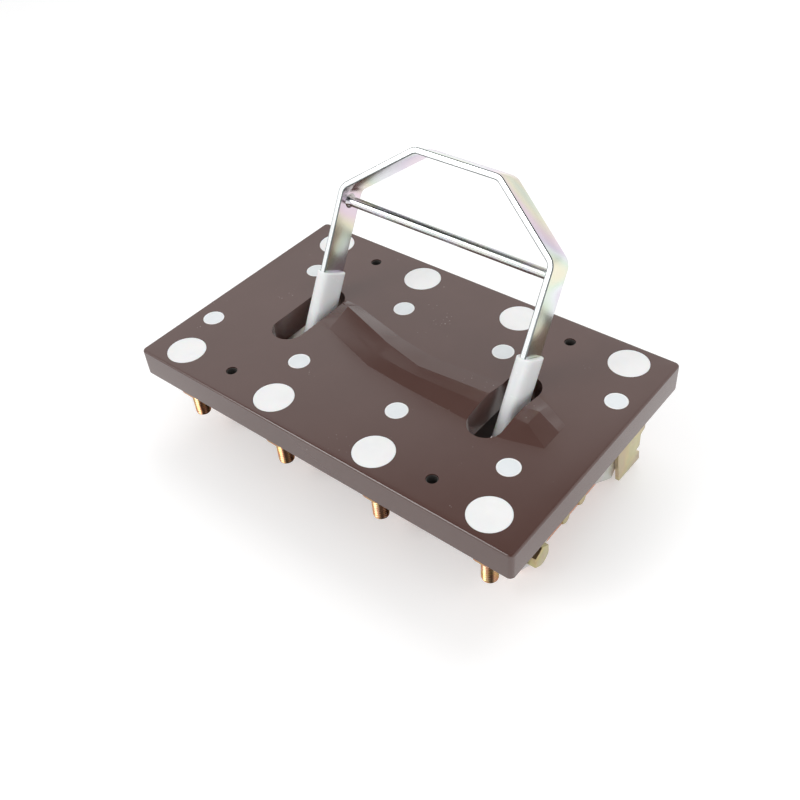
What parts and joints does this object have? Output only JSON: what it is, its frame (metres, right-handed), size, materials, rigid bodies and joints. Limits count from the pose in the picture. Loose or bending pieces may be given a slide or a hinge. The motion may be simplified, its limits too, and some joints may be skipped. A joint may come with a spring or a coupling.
{
  "type": "four-pole knife switch with bail handle",
  "caption": "Panel knife switch with a ridged dark moulded cover plate, poured bolt caps, a leaning bail handle through two slots, a shaft with knife blades and fixed contacts behind.",
  "frame": {"origin": "centre of the four plate bolts, in the plane of the cover plate's rear rim", "axes": "+X along the row of poles, +Y towards the side the handle leans to, +Z out of the front face"},
  "size_m": [0.219, 0.1366, 0.1355],
  "materials": {
    "cover": "semi-gloss moulded, dark brown",
    "poured_cap": "milky white poured compound",
    "yellow_zinc": "yellow-passivated zinc plating",
    "contact_metal": "copper alloy, satin",
    "bare_steel": "zinc plated, satin",
    "bright_zinc": "bright zinc plating with a faint rainbow sheen",
    "carrier": "laminated insulating board",
    "sleeve": "white insulating sleeve"
  },
  "bodies": {
    "base": {"bearing_bracket_left": "bare_steel", "bearing_bracket_right": "bare_steel", "bolt_cap_far_1": "poured_cap", "bolt_cap_far_2": "poured_cap", "bolt_cap_far_3": "poured_cap", "bolt_cap_far_4": "poured_cap", "bolt_cap_near_1": "poured_cap", "bolt_cap_near_2": "poured_cap", "bolt_cap_near_3": "poured_cap", "bolt_cap_near_4": "poured_cap", "contact_far_1": "contact_metal", "contact_far_2": "contact_metal", "contact_far_3": "contact_metal", "contact_far_4": "contact_metal", "contact_near_1": "contact_metal", "contact_near_2": "contact_metal", "contact_near_3": "contact_metal", "contact_near_4": "contact_metal", "cover_plate": "cover", "screw_caps_far": "poured_cap", "screw_caps_near": "poured_cap", "side_plate_left": "bare_steel", "side_plate_right": "bare_steel", "spring_bracket_left": "yellow_zinc", "spring_bracket_right": "yellow_zinc", "terminal_stud_far_1": "yellow_zinc", "terminal_stud_far_2": "yellow_zinc", "terminal_stud_far_3": "yellow_zinc", "terminal_stud_far_4": "yellow_zinc", "terminal_stud_near_1": "yellow_zinc", "terminal_stud_near_2": "yellow_zinc", "terminal_stud_near_3": "yellow_zinc", "terminal_stud_near_4": "yellow_zinc"},
    "rotor": {"blade_1_left": "contact_metal", "blade_1_right": "contact_metal", "blade_2_left": "contact_metal", "blade_2_right": "contact_metal", "blade_3_left": "contact_metal", "blade_3_right": "contact_metal", "blade_4_left": "contact_metal", "blade_4_right": "contact_metal", "blade_carrier_1": "carrier", "blade_carrier_2": "carrier", "blade_carrier_3": "carrier", "blade_carrier_4": "carrier", "handle_bail": "bright_zinc", "handle_crossbar": "bright_zinc", "leg_lever_left": "bare_steel", "leg_lever_right": "bare_steel", "leg_sleeve_left": "sleeve", "leg_sleeve_right": "sleeve", "shaft": "bare_steel"}
  },
  "joints": [
    {"name": "handle_turn", "type": "hinge", "parent": "base", "child": "rotor", "pos_m": [0, 0, -0.03], "axis": [1, 0, 0], "range_deg": [0, 31]}
  ]
}
